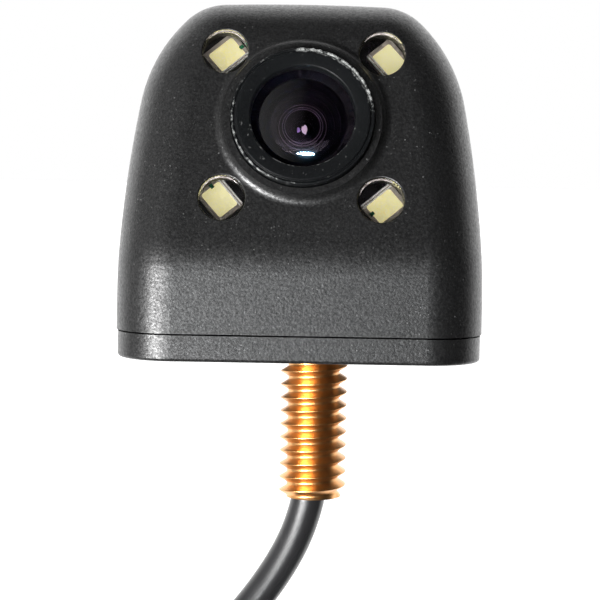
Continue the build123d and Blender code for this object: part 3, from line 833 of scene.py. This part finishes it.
def boot_outline():
    """The strain relief's taper with rings cut into it, as (radius, height) points."""
    outline = [(cable_d / 2, 0.0), (2.45, 0.0), (2.6, -0.2)]
    rings, ring_pitch, groove = 5, 1.9, 0.42
    for ring in range(rings):
        top = -0.6 - ring * ring_pitch
        for share, cut in ((0.0, 0), (0.12, groove), (0.4, groove), (0.52, 0), (0.98, 0)):
            z = top - share * ring_pitch
            outline.append((2.6 + 1.1 * (-z / 11) - cut, z))
    return outline + [(3.72, -11.2), (3.9, -12.6), (3.85, -13.0), (cable_d / 2, -13.0)]


boot_mesh = lathe("connector_boot_ribbed", rounded(boot_outline(), 0.12), plug_axis, 96)
sharpen(boot_mesh, 50)
boot = piece("connector_boot_ribbed", boot_mesh, "jacket", replaces=("connector_boot",))


# ---- Cable tie: a grooved band round the coil, its head and the cut tail ----
def tie_band(place, half_x, half_y, corner, width, thickness, steps=10):
    """A closed band round a rounded rectangle, as points and faces."""
    half, bevel, groove = width / 2, 0.15, 0.14
    rim_end, groove_start = half - 0.35, half - 0.5
    section = [
        (0, -half),
        (thickness - bevel, -half),
        (thickness, bevel - half),
        (thickness, -rim_end),
        (thickness - groove, -groove_start),
        (thickness - groove, groove_start),
        (thickness, rim_end),
        (thickness, half - bevel),
        (thickness - bevel, half),
        (0, half),
    ]
    points, faces = [], []
    stations = []
    for k, (sx, sy) in enumerate(((1, 1), (-1, 1), (-1, -1), (1, -1))):
        for step in range(steps + 1):
            angle = pi / 2 * (k + step / steps)
            centre = (sx * (half_x - corner), sy * (half_y - corner))
            stations.append((centre, angle))
    for (cx, cy), angle in stations:
        for out, z in section:
            r = corner + out
            points.append(place @ Vector((cx + r * cos(angle), cy + r * sin(angle), z)) * MM)
    rows, count = len(section), len(stations)
    for k in range(count):
        for row in range(rows):
            up = (row + 1) % rows
            after = (k + 1) % count
            faces.append((k * rows + row, after * rows + row, after * rows + up, k * rows + up))
    return points, faces


coil_low, coil_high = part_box("cord_coil")
coil_middle = (coil_low + coil_high) / 2 / MM
tie_depth, tie_thickness, tie_gap = 3.2, 0.75, 0.05
tie_at = Matrix.Translation((coil_high.x / MM - tie_depth, coil_middle.y, coil_middle.z))
half_width = (coil_high.y - coil_low.y) / 2 / MM + tie_gap
band = tie_band(tie_at, tie_depth + tie_gap, half_width, 1.5, 2.3, tie_thickness)
outwards = Matrix.Rotation(pi / 2, 4, "Y")  # local Z points away from the coil, local Y stays across it
head_at = Matrix.Translation((coil_high.x / MM + tie_thickness, coil_middle.y, coil_middle.z)) @ outwards
tail_at = head_at @ Matrix.Translation((0, -3.4, 0.05))
tie_head, tie_tail = (4.0, 4.4, 2.3, 0.35), (2.2, 3.0, 0.7, 0.12)  # width, depth, height, bevel
tie_parts = [band, box_mesh(head_at, *tie_head), box_mesh(tail_at, *tie_tail)]
tie_mesh = mesh_of("cable_tie_band", *joined(tie_parts))
sharpen(tie_mesh, 25)
tie = piece("cable_tie_band", tie_mesh, "tie", replaces=("cable_tie",))


# ---- Floor, lights and world ----
floor_height = -130 * MM
floor_half = 6.0


def add_floor():
    signs = ((-1, -1), (1, -1), (1, 1), (-1, 1))
    corners = [(x * floor_half, y * floor_half, floor_height) for x, y in signs]
    mesh = bpy.data.meshes.new("floor")
    mesh.from_pydata(corners, [], [(0, 1, 2, 3)])
    floor = bpy.data.objects.new("floor", mesh)
    scene.collection.objects.link(floor)
    made = Recipe("floor_pale", (0.9, 0.9, 0.9), 0.8, specular=0.1)
    made.link(made.mix(made.grain(0.2, 3), (0.88, 0.88, 0.88), (0.92, 0.92, 0.92)), "Base Color")
    made.set("Emission Color", (1, 1, 1, 1))
    made.set("Emission Strength", 0.5)
    mesh.materials.append(made.material)
    floor.visible_glossy = False


def area_light(name, azimuth, elevation, distance, width, height, radiance, color=(1, 1, 1), glossy=True):
    """A soft box aimed at the lens. Azimuth is from the front, positive to the right."""
    az, el = radians(azimuth), radians(elevation)
    towards = Vector((sin(az) * cos(el), -cos(az) * cos(el), sin(el)))
    data = bpy.data.lights.new(name, "AREA")
    data.shape = "RECTANGLE"
    data.size = width
    data.size_y = height
    data.energy = radiance * pi * width * height
    data.color = color
    light = bpy.data.objects.new(name, data)
    aim = towards.to_track_quat("Z", "Y").to_matrix().to_4x4()
    light.matrix_world = Matrix.Translation(face_seat + towards * distance) @ aim
    light.visible_camera = False
    light.visible_glossy = glossy
    light.visible_transmission = False
    scene.collection.objects.link(light)
    return light


def add_world():
    """White behind for the eye and the rims, darker in front and above where the studio is dark."""
    world = bpy.data.worlds.new("studio")
    scene.world = world
    world.use_nodes = True
    tree = world.node_tree
    tree.nodes.clear()
    output = tree.nodes.new("ShaderNodeOutputWorld")
    seen = tree.nodes.new("ShaderNodeBackground")
    seen.inputs["Color"].default_value = (1, 1, 1, 1)
    lit = tree.nodes.new("ShaderNodeBackground")
    path = tree.nodes.new("ShaderNodeLightPath")
    choose = tree.nodes.new("ShaderNodeMixShader")
    place = tree.nodes.new("ShaderNodeTexCoord")
    split = tree.nodes.new("ShaderNodeSeparateXYZ")
    tree.links.new(place.outputs["Generated"], split.inputs[0])
    brighter = tree.nodes.new("ShaderNodeMath")
    brighter.operation = "MAXIMUM"
    ramps = (("X", -0.75, 0.08, 0.66, 0.0), ("Y", 0.1, 0.45, 0.0, 2.7))  # axis, from, to, brightness at each
    for slot, (axis, start, end, low, high) in enumerate(ramps):
        ramp = tree.nodes.new("ShaderNodeMapRange")
        for name, value in zip(("From Min", "From Max", "To Min", "To Max"), (start, end, low, high)):
            ramp.inputs[name].default_value = value
        tree.links.new(split.outputs[axis], ramp.inputs["Value"])
        tree.links.new(ramp.outputs["Result"], brighter.inputs[slot])
    tree.links.new(brighter.outputs[0], lit.inputs["Strength"])
    tree.links.new(path.outputs["Is Camera Ray"], choose.inputs[0])
    tree.links.new(lit.outputs[0], choose.inputs[1])
    tree.links.new(seen.outputs[0], choose.inputs[2])
    tree.links.new(choose.outputs[0], output.inputs[0])


add_floor()
add_world()
area_light("overhead", 0, 80, 1.6, 2.2, 2.2, 0.9, glossy=False)
low_strip = area_light("low_strip", -6, -9, 0.6, 0.2, 0.05, 17, (0.93, 0.97, 1.0))
area_light("left_low", -38, -20, 0.36, 0.11, 0.08, 105)
low_arc = area_light("low_arc", 4.2, -9.6, 0.6, 0.22, 0.045, 190, (0.32, 0.68, 1.0))
low_arc.data.shape = "ELLIPSE"
left_wide = area_light("left_wide", -29, -14, 0.5, 0.36, 0.14, 17)
for light, state in ((left_wide, "EXCLUDE"), (low_strip, "EXCLUDE"), (low_arc, "INCLUDE")):
    linked = bpy.data.collections.new(light.name + "_on_glass")
    linked.objects.link(front_glass)
    light.light_linking.receiver_collection = linked
    linked.collection_objects[0].light_linking.link_state = state
